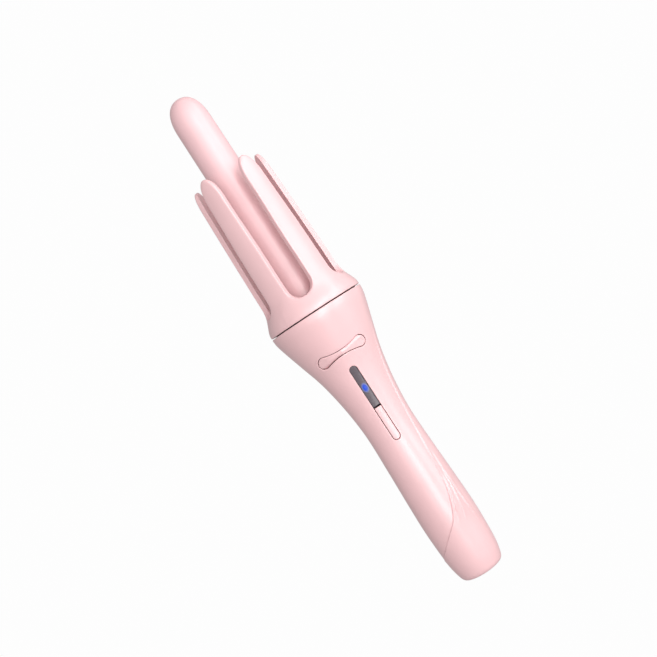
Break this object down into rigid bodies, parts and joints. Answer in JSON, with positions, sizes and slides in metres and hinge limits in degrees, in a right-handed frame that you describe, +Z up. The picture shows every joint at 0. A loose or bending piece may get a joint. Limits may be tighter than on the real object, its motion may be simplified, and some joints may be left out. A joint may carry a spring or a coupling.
{
  "type": "automatic hair curler",
  "caption": "Cordless automatic hair curler: a heated domed barrel inside a motor-driven crown of claws, on a waisted handle with a rocker and a power button.",
  "frame": {"origin": "centre of the bounding box's bottom, on the surface that the curler lies on", "axes": "+Z up; +Y along the curler from its butt towards the barrel's tip; +X to the right of its button side, which faces up"},
  "size_m": [0.0662, 0.3536, 0.0658],
  "materials": {
    "pink_shell": "satin moulded plastic with a soft sheen",
    "pink_crown": "satin moulded plastic",
    "pink_barrel": "satin ceramic coating on an aluminium tube",
    "smoked_window": "smoked gloss plastic",
    "steel": "plated steel",
    "brass": "turned brass",
    "aluminium": "extruded, bare",
    "white_nylon": "natural nylon",
    "black_nylon": "black nylon",
    "heat_resin": "heat-resistant resin",
    "board_green": "solder-masked board",
    "cell_wrap": "shrink-wrapped cell",
    "heater_ceramic": "unglazed",
    "clear_guide": "clear",
    "led_blue": "lit blue lens",
    "wire_red": "silicone insulation"
  },
  "bodies": {
    "handle": {"barrel": "pink_barrel", "barrel_mount": "heat_resin", "battery_cell_1": "cell_wrap", "battery_cell_2": "cell_wrap", "battery_cradle": "white_nylon", "butt_plug": "pink_shell", "cell_link": "steel", "charging_board": "board_green", "charging_socket": "steel", "control_chip": "black_nylon", "deck_screw_1": "steel", "deck_screw_2": "steel", "deck_screw_3": "steel", "gear_deck": "white_nylon", "handle_front_shell": "pink_shell", "handle_rear_shell": "pink_shell", "heat_spreader_front": "aluminium", "heat_spreader_rear": "aluminium", "heater_lead_left": "wire_red", "heater_lead_right": "wire_red", "heater_plate": "heater_ceramic", "indicator_led": "led_blue", "light_guide": "clear_guide", "light_window": "smoked_window", "main_board": "board_green", "motor_can": "steel", "motor_gearbox": "brass", "motor_plate": "white_nylon", "mount_screw_1": "steel", "mount_screw_2": "steel", "mount_screw_3": "steel", "power_switch": "black_nylon", "rocker_bracket": "black_nylon", "rocker_pin": "steel", "rocker_switch_left": "black_nylon", "rocker_switch_right": "black_nylon", "shell_screw_tail_left": "steel", "shell_screw_tail_right": "steel", "shell_screw_top_left": "steel", "shell_screw_top_right": "steel", "switch_board": "board_green", "thermal_fuse": "steel", "thermistor": "clear_guide", "thrust_washer": "steel"},
    "crown": {"claw_crown": "pink_crown", "ring_gear": "black_nylon"},
    "idler": {"idler_shaft": "steel", "drive_pinion": "brass", "transfer_wheel": "white_nylon"},
    "motor_rotor": {"motor_shaft": "steel", "motor_pinion": "brass"},
    "rocker": {"rocker_button": "pink_shell"},
    "power": {"power_button": "pink_shell"}
  },
  "joints": [
    {"name": "crown_spin", "type": "hinge", "parent": "handle", "child": "crown", "pos_m": [0, 0.02051, 0.03314], "axis": [0, 0.9961, 0.0877], "continuous": true},
    {"name": "idler_spin", "type": "hinge", "parent": "handle", "child": "idler", "pos_m": [0, 0.008, 0.01096], "axis": [0, 0.9961, 0.0877], "continuous": true},
    {"name": "motor_spin", "type": "hinge", "parent": "handle", "child": "motor_rotor", "pos_m": [0, 0.00709, 0.02132], "axis": [0, 0.9961, 0.0877], "continuous": true},
    {"name": "rocker_tilt", "type": "hinge", "parent": "handle", "child": "rocker", "pos_m": [0, -0.01407, 0.04957], "axis": [0, 0.9961, 0.0877], "range_deg": [-3, 3], "stiffness_Nm_per_rad": 0.34},
    {"name": "power_press", "type": "slide", "parent": "handle", "child": "power", "axis": [0, 0.0877, -0.9961], "range_m": [0, 0.0006], "stiffness_N_per_m": 3300}
  ],
  "couplings": [
    {"joint": "idler_spin", "follows": "crown_spin", "ratio": 5.2},
    {"joint": "motor_spin", "follows": "crown_spin", "ratio": -8.32}
  ]
}
